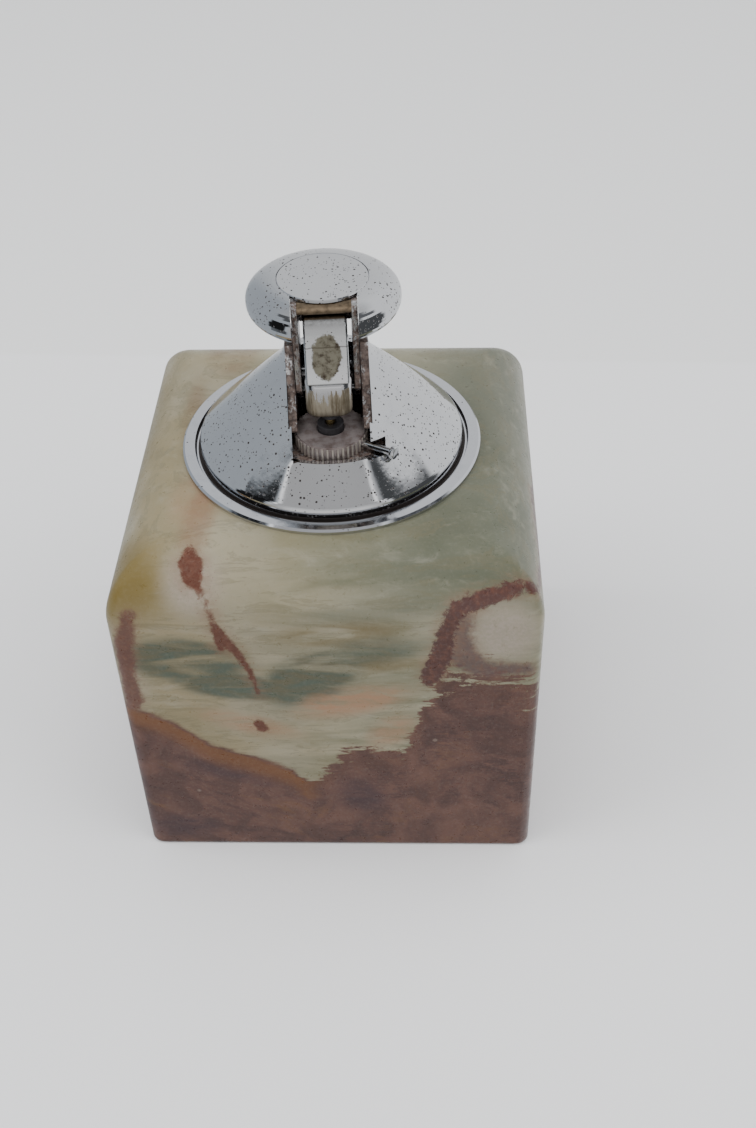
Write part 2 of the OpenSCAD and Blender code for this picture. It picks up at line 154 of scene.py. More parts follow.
def pitted_chrome(name, density, tint=(0.585, 0.59, 0.605), rough=0.045, haze=0.07, groove=None):
    """Old chrome plating: mirror finish with rust pits in clusters, faint haze, and painted shade in a groove.
    """
    n = Nodes(name)
    cluster = n.noise(0.16, 3, 0.6)
    spots_and_shade = None
    for cell, size, share in ((n.cells(1.4), 0.25, 1.0), (n.cells(2.4), 0.28, 0.45)):
        pick = n.add("ShaderNodeSeparateColor")
        n.link(cell.outputs["Color"], pick.inputs[0])
        chance = n.math("MULTIPLY", n.ramp(cluster, 0.38, 0.6, 0.22, 1.0), density * share)
        chosen = n.math("LESS_THAN", pick.outputs[0], chance)
        radius = n.math("MULTIPLY", n.math("ADD", n.math("MULTIPLY", pick.outputs[1], 0.8), 0.5), size)
        ragged = n.math("ADD", cell.outputs["Distance"], n.math("MULTIPLY", n.noise(3.5, 2), 0.16))
        past_edge = n.math("SUBTRACT", ragged, n.math("ADD", radius, 0.06))
        spot = n.math("MULTIPLY", n.ramp(past_edge, -0.03, 0.05, 1, 0), chosen)
        spots_and_shade = spot if spots_and_shade is None else n.math("MAXIMUM", spots_and_shade, spot)
    wear = n.noise(0.35, 5, 0.7, offset=(7, 3, 1))
    base = n.mix(n.ramp(wear, 0.5, 0.8, 0, 0.25), tint, srgb(170, 171, 178))
    if groove:
        inner, outer = groove
        # painted shade: a dark ring over the groove's radii, with the plating dulled there
        out = n.vec("LENGTH", n.vec("MULTIPLY", n.coords, (1, 1, 0)))
        painted_shade = n.math("MULTIPLY", n.ramp(out, inner - 0.15, inner), n.ramp(out, outer, outer + 0.15, 1, 0))
        spots_and_shade = n.math("MAXIMUM", spots_and_shade, painted_shade)
    dull = n.ramp(wear, 0.35, 0.75, rough, rough + haze)
    n.set(Base_Color=n.mix(spots_and_shade, base, srgb(40, 35, 33)),
          Metallic=n.ramp(spots_and_shade, 0, 1, 1, 0.15),
          Roughness=n.math("ADD", dull, n.math("MULTIPLY", spots_and_shade, 0.5)),
          Normal=n.bump(n.math("SUBTRACT", n.math("MULTIPLY", n.noise(0.5, 2), 0.25), spots_and_shade), 0.04, 0.5))
    return n.mat


def worn_chrome(name, worn_where, crease):
    """Chrome of the hood: rubbed through to dull metal where worn_where(n) says so, with painted shade
    at its top, under the fork bar, and in a fine dark line of painted shade at the height of the crease."""
    bare, dark = srgb(122, 118, 104), srgb(60, 50, 40)
    n = Nodes(name)
    wander = n.math("MULTIPLY", n.math("SUBTRACT", n.noise(1.1, 5, 0.7), 0.5), 1.1)
    worn = n.ramp(n.math("ADD", worn_where(n), wander), 0.42, 0.58)
    specks = n.ramp(n.cells(1.6).outputs["Distance"], 0.12, 0.2, 1, 0)
    rare = n.ramp(n.noise(0.5, 2, offset=(3, 9, 2)), 0.5, 0.6)
    streaks = n.ramp(n.noise(0.9, 4, 0.7, offset=(1, 5, 8)), 0.4, 0.75)
    # painted shade: a fine dark line along the crease of the hood
    line = n.math("SUBTRACT", n.math("ADD", n.axis(2), n.math("MULTIPLY", n.noise(0.8, 2), 0.3)), crease)
    line = n.math("MULTIPLY", n.ramp(n.math("ABSOLUTE", line), 0.04, 0.16, 1, 0), 0.55)
    spots_and_shade = n.math("MAXIMUM", n.math("MULTIPLY", specks, rare), line)
    # painted shade: darker towards the hood's top, under the fork bar
    top_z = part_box("arm_hood")[1].z / MM
    cloud = n.math("MULTIPLY", n.math("SUBTRACT", n.noise(1.2, 4, 0.7, offset=(8, 2, 2)), 0.5), 1.6)
    painted_shade = n.ramp(n.math("ADD", n.axis(2), cloud), top_z - 1.5, top_z - 0.1, 0, 0.7)
    spots_and_shade = n.math("MAXIMUM", spots_and_shade, painted_shade)
    colour = n.mix(worn, (0.58, 0.585, 0.59), n.mix(streaks, bare, dark))
    n.set(Base_Color=n.mix(spots_and_shade, colour, dark), Metallic=n.ramp(worn, 0, 1, 1, 0.75),
          Roughness=n.ramp(worn, 0, 1, 0.13, 0.42),
          Normal=n.bump(n.math("ADD", worn, n.math("MULTIPLY", n.noise(2.5, 3), 0.3)), 0.05, 0.5))
    return n.mat


def hood_wear(n):
    """The thumb-worn patch over the shoulder of the snuffer's hood."""
    hood_low, hood_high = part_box("arm_hood")
    middle = (hood_low + hood_high) / 2 / MM
    offset = n.vec("SUBTRACT", n.coords, (middle.x + 0.1, middle.y - 1.8, middle.z - 0.7))
    away = n.vec("LENGTH", n.vec("MULTIPLY", offset, (0.30, 0.2, 0.20)))
    return n.ramp(away, 0.35, 1.15, 1.0, 0.0)


def plain_metal(name, colour, rough, grain=0.5, dark=0.45, metallic=1.0):
    """Brass, steel and blackened parts: uneven tarnish and fine tool marks."""
    n = Nodes(name)
    patch = n.ramp(n.noise(grain, 5, 0.65), 0.35, 0.7)
    deep = tuple(v * dark for v in colour)
    fine = n.noise(4.0, 3, 0.6, offset=(2, 2, 2))
    n.set(Base_Color=n.mix(patch, colour, deep), Metallic=metallic,
          Roughness=n.ramp(fine, 0.3, 0.7, rough * 0.8, rough * 1.3),
          Normal=n.bump(fine, 0.02, 0.4))
    return n.mat


def streaked_cup():
    """The snuffer's cup: plating gone in upright streaks, browner and darker towards its lower edge, where the
    darkening is painted shade.
    """
    n = Nodes("chrome_tarnished")
    cup_low, cup_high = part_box("snuffer_cup")
    low_z, high_z = cup_low.z / MM, cup_high.z / MM
    height = n.axis(2)
    streaks = n.noise(0.75, 5, 0.65, at=n.vec("MULTIPLY", n.coords, (1.6, 1.6, 0.25)))
    plate = n.ramp(n.math("ADD", streaks, n.ramp(height, low_z + 1.5, high_z, -0.16, 0.12)), 0.52, 0.60)
    tone = n.mix(n.ramp(streaks, 0.35, 0.6), srgb(108, 98, 80), srgb(158, 150, 134))
    # painted shade: the cup darkened towards its lower edge
    tone = n.mix(n.ramp(height, low_z, low_z + 1.6, 0.75, 0), tone, srgb(62, 54, 44))
    rim = n.ramp(height, high_z - 1.15, high_z - 0.95)
    plated = n.math("MAXIMUM", plate, rim)
    n.set(Base_Color=n.mix(plated, tone, PLATING), Metallic=n.ramp(plated, 0, 1, 0.7, 1.0),
          Roughness=n.ramp(plated, 0, 1, 0.45, 0.16), Normal=n.bump(streaks, 0.06, 0.5))
    return n.mat


def mottled_plate(name, share):
    """Chrome gone brown over most of its surface, with bright patches left."""
    n = Nodes(name)
    patch = n.noise(1.0, 6, 0.75, at=n.vec("MULTIPLY", n.coords, (1, 1, 0.45)), distort=0.4)
    brown = n.ramp(patch, share - 0.14, share - 0.02, 1, 0)
    cloud = n.noise(1.3, 4, 0.6, offset=(2, 7, 1))
    tone = n.mix(n.ramp(cloud, 0.35, 0.65), srgb(124, 108, 100), srgb(70, 58, 54))
    n.set(Base_Color=n.mix(brown, PLATING, tone), Metallic=n.ramp(brown, 0, 1, 1.0, 0.35),
          Roughness=n.ramp(brown, 0, 1, 0.16, 0.42), Normal=n.bump(patch, 0.05, 0.5))
    return n.mat


def soft_material(name, colour, rough, scale, depth):
    """Felt, rubber and soot-black seals: matt, with a fine nap."""
    n = Nodes(name)
    nap = n.noise(scale, 4, 0.7)
    n.set(Base_Color=n.mix(n.ramp(nap, 0.3, 0.7), colour, tuple(v * 0.55 for v in colour)),
          Roughness=rough, Normal=n.bump(nap, depth, 0.8))
    return n.mat


def knurled_bronze():
    """Brown finish of the flame ring, rubbed bright on the tips of its teeth."""
    n = Nodes("bronzed")
    ring_low, ring_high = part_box("flame_ring")
    middle = (ring_low + ring_high) / 2 / MM
    radius = (ring_high.x - ring_low.x) / 2 / MM
    across = n.vec("MULTIPLY", n.vec("SUBTRACT", n.coords, tuple(middle)), (1, 1, 0))
    out = n.vec("LENGTH", across)
    patch = n.ramp(n.noise(0.5, 5, 0.65), 0.35, 0.7)
    tips = n.math("MULTIPLY", n.ramp(out, radius - 0.22, radius - 0.03),
                  n.ramp(n.noise(0.6, 3, 0.6, offset=(5, 1, 0)), 0.3, 0.55, 0.35, 1.0))
    colour = n.mix(patch, srgb(168, 158, 156), srgb(128, 113, 110))
    n.set(Base_Color=n.mix(tips, colour, srgb(190, 182, 172)), Metallic=0.75,
          Roughness=n.ramp(n.noise(3.0, 3), 0.3, 0.7, 0.30, 0.46), Normal=n.bump(n.noise(3.0, 3), 0.02, 0.4))
    return n.mat


# ---------------------------------------------------------------- mesh helpers

def new_piece(name, verts, faces, body, material):
    mesh = bpy.data.meshes.new(name)
    mesh.from_pydata([tuple(v) for v in verts], [], faces)
    mesh.validate()
    piece = bpy.data.objects.new(name, mesh)
    bpy.context.scene.collection.objects.link(piece)
    bm = bmesh.new()
    bm.from_mesh(mesh)
    bmesh.ops.recalc_face_normals(bm, faces=bm.faces)
    bm.to_mesh(mesh)
    bm.free()
    mesh.polygons.foreach_set("use_smooth", [True] * len(mesh.polygons))
    mesh.materials.append(material)
    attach(piece, body)
    return piece


# ---------------------------------------------------------------- the onyx block

TOP_R, SIDE_R, WELL_R, WELL_FLOOR = 11.5, 2.5, 21.5, 14.0
PAD_ROOF = 1.0  # top of the recess that the felt pad fills
CORNER_SHARPENING = 0.16  # how much the upright corners tighten as the top edge rolls in
SIDE_STEPS, CORNER_STEPS, WALL_RINGS = 120, 8, 100


def section(inset, corner):
    """A closed rounded-square outline, as x and y in mm, always with the same count of points."""
    hw, hd = HALF_W - inset, HALF_D - inset
    points = []
    for quarter in range(4):
        a0 = math.pi / 2 * quarter
        sx, sy = ((1, 1), (-1, 1), (-1, -1), (1, -1))[quarter]
        cx, cy = sx * (hw - corner), sy * (hd - corner)
        for k in range(CORNER_STEPS):
            a = a0 + math.pi / 2 * k / CORNER_STEPS
            points.append((cx + corner * math.cos(a), cy + corner * math.sin(a)))
        a = a0 + math.pi / 2
        start = Vector((cx + corner * math.cos(a), cy + corner * math.sin(a)))
        nx, ny = ((-1, 1), (-1, -1), (1, -1), (1, 1))[quarter]
        nxt = Vector((nx * (hw - corner) + corner * math.cos(a), ny * (hd - corner) + corner * math.sin(a)))
        for k in range(SIDE_STEPS):
            points.append(tuple(start.lerp(nxt, k / SIDE_STEPS)))
    return np.array(points)


def circle_like(outline, radius):
    """The outline pulled onto a circle, each point kept at its own bearing."""
    return outline / np.linalg.norm(outline, axis=1)[:, None] * radius


def block_mesh():
    """The stone as rings from its underside up, over the rounded top and down into the well."""
    rings = []

    def ring(xy, z):
        rings.append(np.column_stack([xy, np.full(len(xy), z)]))

    base = section(0, SIDE_R)
    # the recess for the felt pad and the foot's small chamfer
    ring(section(3.05, SIDE_R), PAD_ROOF)
    ring(section(3.0, SIDE_R), FOOT + 0.12)
    ring(section(2.9, SIDE_R), FOOT)
    ring(section(0.35, SIDE_R), FOOT)
    ring(section(0.1, SIDE_R), FOOT + 0.12)
    ring(base, FOOT + 0.4)
    for z in np.linspace(FOOT + 1.0, DECK - TOP_R, WALL_RINGS):
        ring(base, z)
    for t in np.linspace(0, math.pi / 2, 31)[1:]:
        inset = TOP_R * (1 - math.cos(t))
        ring(section(inset, SIDE_R - CORNER_SHARPENING * inset), DECK - TOP_R + TOP_R * math.sin(t))
    flat = rings[-1][:, :2]
    well = circle_like(flat, WELL_R)
    for t in (0.2, 0.4, 0.6, 0.8, 0.95):
        ring(flat * (1 - t) + well * t, DECK)
    ring(circle_like(flat, WELL_R + 0.3), DECK)
    ring(well, DECK - 0.3)
    ring(well, WELL_FLOOR)
    verts = np.vstack(rings)
    count = len(base)
    faces = []
    for i in range(len(rings) - 1):
        for j in range(count):
            k = (j + 1) % count
            faces.append((i * count + j, i * count + k, (i + 1) * count + k, (i + 1) * count + j))
    verts = np.vstack([verts, [[0, 0, PAD_ROOF], [0, 0, WELL_FLOOR]]])
    last = (len(rings) - 1) * count
    for j in range(count):
        k = (j + 1) % count
        faces.append((len(verts) - 2, k, j))
        faces.append((len(verts) - 1, last + j, last + k))
    return verts, faces


def smooth(value, a, b):
    t = np.clip((value - a) / (b - a), 0, 1)
    return t * t * (3 - 2 * t)


def path_distance(points, path):
    """Distance in mm from each point to a path of (x, y, z, half width), less the half width there."""
    best = np.full(len(points), 1e3)
    for a, b in zip(path[:-1], path[1:]):
        a, b = np.array(a, float), np.array(b, float)
        d = b[:3] - a[:3]
        t = np.clip(((points - a[:3]) @ d) / (d @ d), 0, 1)
        gap = np.linalg.norm(points - a[:3] - t[:, None] * d, axis=1) - (a[3] + t * (b[3] - a[3]))
        best = np.minimum(best, gap)
    return best


def blob(points, centre, size, turn=0.0):
    """A soft ellipsoid: 1 in its middle, 0 from its edge on. turn tilts it in the front face, in degrees."""
    p = points - np.array(centre, float)
    c, s = math.cos(math.radians(turn)), math.sin(math.radians(turn))
    p = np.column_stack([p[:, 0] * c + p[:, 2] * s, p[:, 1], p[:, 2] * c - p[:, 0] * s])
    return 1 - smooth(np.linalg.norm(p / np.array(size, float), axis=1), 0.25, 1.0)


def stone_fields(points):
    """The large marks of the stone. points are in mm, z from the top of the stone."""
    x, y, z = points.T
    # height of the boundary between the pale stone above and the brown stone below
    front_x = (-38, -33, -29, -22, -13, -8, -4.5, -1, 3, 9, 13, 15, 17, 20, 24, 31, 38)
    front_z = (-30.5, -33, -35.5, -42, -46, -48.5, -52.5, -49, -44, -43.5, -44.5, -39, -30, -24.5,
               -22.5, -24, -29)
    front = np.interp(x, front_x, front_z)
    left = -34 - 6 * np.sin((y + 38) * 0.075) - 0.12 * (y + 38)
    right = -29 - 9 * np.sin((y + 38) * 0.055) + 0.05 * (y + 38)
    back = -40 + 7 * np.sin(x * 0.11 + 1.2) + 3 * np.sin(x * 0.31)
    side = np.where(x < 0, left, right) * smooth(np.abs(x), 8, 36) + back * (1 - smooth(np.abs(x), 8, 36))
    level = front + (side - front) * smooth(y, -36, -20)
    level += (back - level) * smooth(y, 18, 38)
    brown = level - z
    rust_vein = ((-22.6, -30.2, -1.8, 1.3), (-22.3, -32.2, -2.6, 2.0), (-21.8, -34.0, -4.0, 1.6),
                 (-20.6, -35.6, -5.4, 0.5), (-19.3, -36.8, -8.2, 0.55), (-18.3, -37.7, -12, 0.7),
                 (-16.8, -38, -15.2, 0.75), (-15.2, -38, -18, 0.5), (-13.6, -38, -22, 0.35),
                 (-12.4, -38, -28, 0.05))
    rust_spot = ((-13.0, -38, -36.2, 0.9), (-12.4, -38, -37.2, 0.8))
    rust_branch = ((-18.3, -37.7, -12, 0.5), (-17.9, -38, -15, 0.9), (-18.0, -38, -16.6, 0.3))
    back_vein = ((37, 30, -18, 0.6), (25, 38, -14, 1.4), (12, 38, -22, 0.9), (2, 38, -20, 1.5),
                 (-12, 38, -31, 0.7), (-24, 38, -26, 1.1), (-36, 33, -34, 0.5))
    veins = np.minimum.reduce([path_distance(points, path)
                               for path in (rust_vein, rust_spot, rust_branch, back_vein)])
    trail = path_distance(points, ((-21.0, -12, 0, 0.3), (-21.6, -20, 0, 0.9), (-22.4, -28, -1, 1.0)))
    left_vein = path_distance(points, ((-33, -38, -9, 0.7), (-34.6, -38, -15, 1.2),
                                       (-35.3, -38, -22, 1.1), (-35.2, -38, -30, 1.2),
                                       (-36.5, -30, -36, 0.8), (-37.5, -16, -40, 0.4)))
    arch = path_distance(points, ((18.0, -38, -24, 1.5), (19.8, -38, -19, 1.7), (20.6, -38, -14.5, 1.3),
                                  (21.2, -37.9, -10.5, 1.1), (23.0, -37.3, -7.4, 1.3), (27, -36.8, -6.0, 1.2),
                                  (31, -36.2, -4.8, 1.2), (34, -35.6, -3.8, 0.8), (36.6, -34.5, -6, 0.3),
                                  (37.5, -24, -9, 0.5), (37.5, -8, -7, 0.9), (37.5, 8, -14, 0.6),
                                  (37.5, 22, -30, 0.4)))
    inner = path_distance(points, ((24.6, -38, -8.6, 0.3), (23.2, -38, -13, 1.3), (23.4, -38, -18, 2.4),
                                   (27, -38, -21.8, 1.6), (35, -38, -21.5, 0.8)))
    pale = np.maximum(blob(points, (30.5, -38, -13), (9, 9, 9.5)),
                      blob(points, (-22, -34, -5), (7.5, 8, 8)))
    olive = np.maximum(blob(points, (-33, -33, -5), (10, 13, 9)),
                       0.6 * blob(points, (-36, 10, -6), (10, 26, 10)))
    teal = np.maximum.reduce([blob(points, (-25, -38, -19.5), (16, 9, 7.5), -4),
                              blob(points, (-17, -38, -26), (16, 9, 5), -10),
                              blob(points, (-3, -38, -24), (14, 9, 8.5), 34),
                              0.5 * blob(points, (7, -38, -17.5), (20, 9, 5.0), 10),
                              0.3 * blob(points, (8, -37, -8.5), (24, 9, 3.6), 6),
                              0.8 * blob(points, (-37.5, -8, -20), (9, 22, 7)),
                              0.8 * blob(points, (37.5, 12, -20), (9, 20, 6)),
                              0.8 * blob(points, (-8, 38, -14), (24, 9, 6), 8)])
    peach = np.maximum.reduce([blob(points, (4, -38, -30), (15, 9, 5), 14),
                               0.8 * blob(points, (-15, -38, -36), (13, 9, 3.4), -18),
                               0.7 * blob(points, (11, -38, -38), (8, 9, 5), 50),
                               0.5 * blob(points, (-23, -18, 0), (6, 12, 6)),
                               0.8 * blob(points, (10, 38, -30), (20, 9, 5), -8)])
    tan = 1 - smooth(x + 0.25 * y, -34, 6)
    band = np.maximum(blob(points, (-21, 30, 0), (7, 14, 8)), 0.7 * blob(points, (-26.5, 10, 0), (3.4, 16, 6)))
    green_top = smooth(x - 0.2 * y, -4, 26) * smooth(z, -14, -2)
    violet = np.maximum.reduce([blob(points, (-30, -38, -66), (10, 9, 5)),
                                blob(points, (5, -38, -57), (6, 9, 8), 40),
                                0.8 * blob(points, (-19, -38, -50), (15, 9, 3.4), -16),
                                blob(points, (30, 38, -60), (16, 9, 7)),
                                blob(points, (-37, 20, -60), (9, 14, 7))])
    olive_band = np.maximum(blob(points, (2, -38, -13.5), (17, 9, 4.5), 7),
                            0.8 * blob(points, (4, -38, -21), (24, 9, 3), 5))
    ragged = np.maximum(1 - smooth(y, -38, -20), 0.5) * smooth(x, -12, 6) * (1 + 0.4 * smooth(x, 10, 20))
    return dict(brown=brown, olive_band=olive_band, trail=trail, inner=inner, veins=veins, arch=arch,
                ragged=0.12 + 0.88 * ragged, left_vein=left_vein, pale=pale, olive=olive, teal=teal,
                peach=peach, tan=tan, band=band, green_top=green_top, violet=violet)


def onyx():
    """The polished stone: banded pale and green above, brown below, with the marks of stone_fields."""
    n = Nodes("onyx")
    field = n.field
    # broad banding, long and nearly level as it lies in the stone, and finer layers in it
    tilt = n.vec("MULTIPLY", n.coords, (0.30, 0.5, 1.7))
    broad = n.noise(0.075, 4, 0.55, at=tilt, distort=1.1)
    layers = n.noise(0.13, 3, 0.5, at=tilt, distort=0.9, offset=(30, 5, 2))
    wisps = n.noise(0.32, 6, 0.65, at=n.vec("MULTIPLY", n.coords, (0.45, 0.6, 1.6)), distort=0.6)
    cloud = n.noise(0.05, 3, 0.5)
    grain = n.noise(1.6, 4, 0.7)

    colour = n.mix(n.ramp(broad, 0.35, 0.68), srgb(132, 132, 104), srgb(188, 181, 153))
    colour = n.mix(n.math("MULTIPLY", field("tan"), 0.75), colour,
                   n.mix(n.ramp(cloud, 0.4, 0.6), srgb(190, 178, 150), srgb(172, 155, 116)))
    colour = n.mix(n.math("MULTIPLY", field("green_top"), 0.85), colour,
                   n.mix(n.ramp(cloud, 0.4, 0.62), srgb(103, 108, 90), srgb(95, 99, 79)))
    colour = n.mix(n.math("MULTIPLY", n.ramp(wisps, 0.5, 0.75), 0.35), colour, srgb(194, 190, 170))
    lines = n.noise(0.30, 5, 0.7, at=tilt, distort=0.8, offset=(11, 2, 7))
    fine_line = n.math("MULTIPLY", n.ramp(lines, 0.52, 0.56), n.ramp(lines, 0.58, 0.66, 1, 0))
    colour = n.mix(n.math("MULTIPLY", fine_line, 0.35), colour, srgb(128, 120, 90))
    colour = n.mix(n.math("MULTIPLY", field("olive"), 0.9), colour, srgb(134, 114, 56))
    tan_band = n.math("MULTIPLY", field("band"), n.ramp(wisps, 0.3, 0.65, 0.2, 0.8))
    colour = n.mix(tan_band, colour, srgb(134, 102, 64))
    warm = n.math("MULTIPLY", field("olive_band"), n.ramp(layers, 0.40, 0.60, 0.1, 0.9))
    colour = n.mix(warm, colour, srgb(134, 118, 78))
    teal = n.math("MULTIPLY", n.ramp(field("teal"), 0.0, 0.7), n.ramp(layers, 0.34, 0.56, 0.30, 0.95))
    blue_green = n.mix(n.ramp(wisps, 0.35, 0.65), srgb(88, 102, 88), srgb(106, 102, 76))
    colour = n.mix(teal, colour, blue_green)
    peach = n.math("MULTIPLY", field("peach"), n.ramp(wisps, 0.3, 0.62, 0.25, 1.0))
    colour = n.mix(peach, colour, srgb(188, 146, 112))
    cream = n.mix(n.ramp(grain, 0.35, 0.7), srgb(192, 178, 162), srgb(176, 166, 144))
    colour = n.mix(field("pale"), colour, cream)

    # brown stone below: its edge is smooth on the left and ragged on the right, with an orange rim
    flat = n.vec("MULTIPLY", n.coords, (0.30, 0.30, 1.5))
    coarse = n.math("MULTIPLY", n.math("SUBTRACT", n.noise(0.33, 6, 0.75, at=flat, distort=0.3), 0.5), 26.0)
    fringe = n.math("MULTIPLY", n.math("SUBTRACT", n.noise(0.55, 5, 0.75), 0.5), 7.0)
    wander = n.math("MULTIPLY", n.math("ADD", coarse, fringe), field("ragged"))
    depth = n.math("ADD", field("brown"), wander)  # mm below the boundary
    flow = n.add("ShaderNodeCombineXYZ")
    across, along = (n.math("MULTIPLY", n.axis(k), 0.35) for k in (0, 1))
    for socket, source in zip(flow.inputs, (across, along, depth)):
        n.link(source, socket)
    bands = n.noise(0.17, 5, 0.6, at=flow.outputs[0], distort=1.0)
    swirl = n.noise(0.09, 5, 0.6, distort=1.6, offset=(4, 0, 9))
    brown = n.mix(n.ramp(swirl, 0.35, 0.66), srgb(125, 88, 76), srgb(97, 67, 60))
    brown = n.mix(n.ramp(bands, 0.5, 0.68, 0, 0.75), brown, srgb(80, 54, 52))
    brown = n.mix(n.ramp(bands, 0.30, 0.42, 0.6, 0), brown, srgb(132, 92, 62))
    violet = n.math("MULTIPLY", field("violet"), n.ramp(wisps, 0.3, 0.6, 0.5, 0.95))
    brown = n.mix(violet, brown, srgb(82, 58, 62))
    rim = n.math("MULTIPLY", n.ramp(depth, 0.2, 1.2), n.ramp(depth, 2.2, 7.5, 1, 0))
    rim = n.math("MULTIPLY", rim, n.ramp(field("ragged"), 0.2, 0.8, 0.8, 0.1))
    brown = n.mix(rim, brown, srgb(136, 88, 48))
    colour = n.mix(n.ramp(depth, -0.35, 0.5), colour, brown)
    edge_line = n.math("MULTIPLY", n.ramp(depth, -1.2, 0.1), n.ramp(depth, 0.3, 1.3, 1, 0))
    colour = n.mix(n.math("MULTIPLY", edge_line, 0.4), colour, srgb(116, 76, 58))

    # veins: rust red, maroon, and a violet band inside the maroon one
    rough_edge = n.math("SUBTRACT", n.noise(0.75, 6, 0.75, distort=0.6), 0.5)
    for name, inner, outer, wobble, strength, tone in (
            ("trail", 0.0, 3.0, 3.0, 0.40, srgb(150, 104, 66)),
            ("inner", -0.6, 1.4, 3.4, 0.80, srgb(104, 80, 80)),
            ("left_vein", -0.2, 1.2, 3.8, 0.9, srgb(112, 70, 60)),
            ("arch", -0.1, 0.7, 4.2, 0.97, srgb(92, 56, 52)),
            ("veins", -0.1, 0.55, 1.9, 0.97, srgb(106, 56, 38))):
        gap = n.math("ADD", field(name), n.math("MULTIPLY", rough_edge, wobble))
        halo = n.math("MULTIPLY", n.ramp(gap, 0.2, 2.6, 1, 0), n.ramp(wisps, 0.35, 0.6, 0.0, 0.45 * strength))
        colour = n.mix(halo, colour, srgb(150, 116, 90))
        mottle = n.ramp(n.noise(0.8, 4, 0.7, offset=(1, 8, 5)), 0.42, 0.7, 0, 0.6)
        body = n.mix(mottle, tone, srgb(136, 86, 66))
        colour = n.mix(n.math("MULTIPLY", n.ramp(gap, inner, outer, 1, 0), strength), colour, body)

    # whitish chips in the brown, red specks beside the veins, and fine grain
    chips = n.math("MULTIPLY", n.ramp(n.cells(0.13).outputs["Distance"], 0.03, 0.08, 1, 0), n.ramp(depth, 0, 2))
    colour = n.mix(n.math("MULTIPLY", chips, 0.55), colour, srgb(170, 150, 136))
    near = n.math("MULTIPLY", n.ramp(field("veins"), 0.5, 6.0, 1, 0), n.ramp(n.noise(2.2, 2), 0.66, 0.72))
    colour = n.mix(n.math("MULTIPLY", near, 0.6), colour, srgb(136, 88, 66))
    colour = n.mix(n.math("MULTIPLY", n.ramp(grain, 0.45, 0.8), 0.10), colour, srgb(205, 200, 186))
    colour = n.mix(0.44, colour, (0, 0, 0))  # the whole stone darkened to its real reflectance

    scuff = n.noise(0.7, 6, 0.75, offset=(6, 6, 1))
    n.set(Base_Color=colour, Roughness=n.ramp(scuff, 0.3, 0.75, 0.26, 0.44), Specular_IOR_Level=0.4,
          Subsurface_Weight=0.12, Subsurface_Scale=0.0025, Coat_Weight=0.06, Coat_Roughness=0.22,
          Normal=n.bump(n.math("ADD", n.math("MULTIPLY", scuff, 0.5), n.noise(0.12, 2)), 0.06, 0.35))
    n.shader.inputs["Subsurface Radius"].default_value = (1.0, 0.8, 0.5)
    return n.mat


verts, faces = block_mesh()
stone = new_piece("onyx_cube", verts * MM, faces, "block", onyx())
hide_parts("stone_block")
points = np.array([v.co for v in stone.data.vertices]) / MM - (0, 0, DECK)
for name, values in stone_fields(points).items():
    stone.data.attributes.new(name, "FLOAT", "POINT").data.foreach_set("value", values.astype(np.float32))

# ---------------------------------------------------------------- finishes of the CAD nodes

dense = pitted_chrome("chrome_pitted", 0.62)
light = pitted_chrome("chrome_clean", 0.05, tint=(0.57, 0.58, 0.61), rough=0.07, haze=0.14, groove=RIM_GROOVE)
steel = plain_metal("steel", (0.42, 0.42, 0.43), 0.30)
brass = plain_metal("brass", (0.60, 0.45, 0.20), 0.32)
black = plain_metal("black_finish", (0.035, 0.033, 0.036), 0.42, metallic=0.4)
finishes = {
    "chrome": dense, "steel": steel, "brass": brass, "blackened": black,
    "felt": soft_material("felt", (0.03, 0.10, 0.06), 0.95, 3.0, 0.15),
    "rubber": soft_material("rubber", (0.02, 0.02, 0.02), 0.7, 2.0, 0.03),
    "flint": soft_material("flint", (0.10, 0.10, 0.11), 0.7, 3.0, 0.05),
    "worn_brass": plain_metal("worn_brass", srgb(150, 132, 110), 0.34, 1.2, 0.55),
    "tarnished": streaked_cup(),
    "bronzed": knurled_bronze(),
    "worn_plate": mottled_plate("worn_plate", 0.66),
}
slots = {row["node"]: row["material_slot"] for row in frame["record"]["subparts"]}
mottled = mottled_plate("mottled_chrome", 0.60)
special = {"flange_plate": light, "thumb_inlay": dense, "fork_left": mottled, "fork_right": mottled,
           "fork_back": mottled, "arm_left": mottled, "arm_right": mottled}
for node_name, node in nodes.items():
    node.data.materials.clear()
    node.data.materials.append(special.get(node_name, finishes.get(slots.get(node_name, ""), dense)))

BEVEL_SEGMENTS = 3
BEVEL_ANGLE = 35  # edges sharper than this, in degrees, are rounded over
SEAM_ANGLE = 40  # edges still sharper than this stay crisp in the shading


